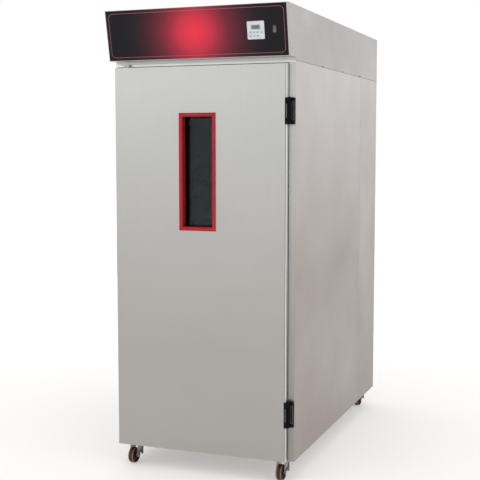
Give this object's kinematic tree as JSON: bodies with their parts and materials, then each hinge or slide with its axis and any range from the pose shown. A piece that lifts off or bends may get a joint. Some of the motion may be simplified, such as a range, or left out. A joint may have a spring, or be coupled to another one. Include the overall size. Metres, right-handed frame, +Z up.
{
  "type": "retarder proofer",
  "caption": "Tall insulated stainless proofing cabinet on swivel casters, with a windowed door, tray slides, air duct, fans, coils and a leaning control header.",
  "frame": {"origin": "on the floor, under the centre of the object's bounding box", "axes": "+Z up, -Y towards the door's front, +X to the right, the hinge side, seen from the front"},
  "size_m": [0.907, 1.738, 2.2],
  "materials": {
    "steel": "brushed stainless sheet",
    "liner": "matt stainless liner",
    "foam": "foamed polyurethane",
    "fascia": "back-printed polycarbonate",
    "controller": "moulded ABS",
    "display": "liquid crystal display window",
    "keys": "moulded key caps",
    "switch": "moulded nylon",
    "rocker": "moulded nylon",
    "window_red": "red enamel",
    "glass": "tempered glass",
    "spacer": "black spacer",
    "seal": "moulded seal",
    "pull": "moulded nylon",
    "hinge": "glass-filled nylon",
    "pin": "ground steel pin",
    "sensor": "moulded ABS",
    "zinc": "zinc-plated pressing",
    "wheel": "phenolic resin",
    "coil": "aluminium fins on tube",
    "fan": "moulded fan",
    "motor": "painted motor",
    "compressor": "black enamel",
    "rack": "bent stainless sheet",
    "lamp": "opal diffuser",
    "heater": "tubular heater",
    "box": "moulded box"
  },
  "bodies": {
    "cabinet": {"base_sheet": "steel", "left_front_sheet": "steel", "left_rear_sheet": "steel", "right_front_sheet": "steel", "right_rear_sheet": "steel", "back_sheet": "steel", "insulation_slabs": "foam", "chamber_liner": "liner", "door_frame": "steel", "header_base": "steel", "header_cover": "steel", "rear_grille": "steel", "cable_gland": "pull", "fascia_panel": "fascia", "controller_housing": "controller", "controller_display": "display", "rocker_housing": "switch", "condenser_coil": "coil", "compressor": "compressor", "evaporator_coil": "coil", "air_duct": "liner", "tray_racks": "rack", "humidity_pan": "liner", "heater_element": "heater", "sensor_probe": "pin", "chamber_lamp": "lamp", "door_switch": "sensor", "hinge_frame_leaves": "hinge", "hinge_pins": "pin", "caster_plates": "zinc", "fan_motors": "motor", "control_box": "box"},
    "door": {"door_pan": "steel", "door_core": "foam", "door_liner": "liner", "door_gasket": "seal", "window_frame": "window_red", "window_panes": "glass", "window_spacer": "spacer", "door_pull": "pull", "door_magnet": "sensor", "hinge_door_leaves": "hinge"},
    "key_1": {"key_1": "keys"},
    "key_2": {"key_2": "keys"},
    "key_3": {"key_3": "keys"},
    "key_4": {"key_4": "keys"},
    "key_5": {"key_5": "keys"},
    "key_6": {"key_6": "keys"},
    "key_7": {"key_7": "keys"},
    "rocker": {"rocker": "rocker"},
    "circulation_fan": {"circulation_fan": "fan"},
    "condenser_fan": {"condenser_fan": "fan"},
    "fork_front_left": {"fork_front_left": "zinc"},
    "wheel_front_left": {"wheel_front_left": "wheel"},
    "fork_front_right": {"fork_front_right": "zinc"},
    "wheel_front_right": {"wheel_front_right": "wheel"},
    "fork_rear_left": {"fork_rear_left": "zinc"},
    "wheel_rear_left": {"wheel_rear_left": "wheel"},
    "fork_rear_right": {"fork_rear_right": "zinc"},
    "wheel_rear_right": {"wheel_rear_right": "wheel"}
  },
  "joints": [
    {"name": "door_hinge", "type": "hinge", "parent": "cabinet", "child": "door", "pos_m": [0.43, -0.779, 1.0265], "axis": [0, 0, 1], "range_deg": [0, 110]},
    {"name": "key_1_press", "type": "slide", "parent": "cabinet", "child": "key_1", "axis": [0, 0.9806, 0.1961], "range_m": [0, 0.0006], "stiffness_N_per_m": 700, "springref_m": -0.0005},
    {"name": "key_2_press", "type": "slide", "parent": "cabinet", "child": "key_2", "axis": [0, 0.9806, 0.1961], "range_m": [0, 0.0006], "stiffness_N_per_m": 700, "springref_m": -0.0005},
    {"name": "key_3_press", "type": "slide", "parent": "cabinet", "child": "key_3", "axis": [0, 0.9806, 0.1961], "range_m": [0, 0.0006], "stiffness_N_per_m": 700, "springref_m": -0.0005},
    {"name": "key_4_press", "type": "slide", "parent": "cabinet", "child": "key_4", "axis": [0, 0.9806, 0.1961], "range_m": [0, 0.0006], "stiffness_N_per_m": 700, "springref_m": -0.0005},
    {"name": "key_5_press", "type": "slide", "parent": "cabinet", "child": "key_5", "axis": [0, 0.9806, 0.1961], "range_m": [0, 0.0006], "stiffness_N_per_m": 700, "springref_m": -0.0005},
    {"name": "key_6_press", "type": "slide", "parent": "cabinet", "child": "key_6", "axis": [0, 0.9806, 0.1961], "range_m": [0, 0.0006], "stiffness_N_per_m": 700, "springref_m": -0.0005},
    {"name": "key_7_press", "type": "slide", "parent": "cabinet", "child": "key_7", "axis": [0, 0.9806, 0.1961], "range_m": [0, 0.0006], "stiffness_N_per_m": 700, "springref_m": -0.0005},
    {"name": "rocker_tip", "type": "hinge", "parent": "cabinet", "child": "rocker", "pos_m": [0.382, -0.84135, 2.08723], "axis": [1, 0, 0], "range_deg": [0, 14]},
    {"name": "circulation_fan_spin", "type": "hinge", "parent": "cabinet", "child": "circulation_fan", "pos_m": [0, 0.6876, 1.64], "axis": [0, 1, 0], "continuous": true},
    {"name": "condenser_fan_spin", "type": "hinge", "parent": "cabinet", "child": "condenser_fan", "pos_m": [0, 0.725, 2.078], "axis": [0, 1, 0], "continuous": true},
    {"name": "front_left_swivel", "type": "hinge", "parent": "cabinet", "child": "fork_front_left", "pos_m": [-0.385, -0.71, 0.088], "axis": [0, 0, 1], "continuous": true},
    {"name": "front_left_roll", "type": "hinge", "parent": "fork_front_left", "child": "wheel_front_left", "pos_m": [-0.38695, -0.73793, 0.0375], "axis": [0.9976, -0.0698, 0], "continuous": true},
    {"name": "front_right_swivel", "type": "hinge", "parent": "cabinet", "child": "fork_front_right", "pos_m": [0.385, -0.71, 0.088], "axis": [0, 0, 1], "continuous": true},
    {"name": "front_right_roll", "type": "hinge", "parent": "fork_front_right", "child": "wheel_front_right", "pos_m": [0.38402, -0.73798, 0.0375], "axis": [0.9994, -0.0349, 0], "continuous": true},
    {"name": "rear_left_swivel", "type": "hinge", "parent": "cabinet", "child": "fork_rear_left", "pos_m": [-0.385, 0.775, 0.088], "axis": [0, 0, 1], "continuous": true},
    {"name": "rear_left_roll", "type": "hinge", "parent": "fork_rear_left", "child": "wheel_rear_left", "pos_m": [-0.38938, 0.74735, 0.0375], "axis": [0.9877, -0.1564, 0], "continuous": true},
    {"name": "rear_right_swivel", "type": "hinge", "parent": "cabinet", "child": "fork_rear_right", "pos_m": [0.385, 0.775, 0.088], "axis": [0, 0, 1], "continuous": true},
    {"name": "rear_right_roll", "type": "hinge", "parent": "fork_rear_right", "child": "wheel_rear_right", "pos_m": [0.38207, 0.74715, 0.0375], "axis": [0.9945, -0.1045, 0], "continuous": true}
  ]
}
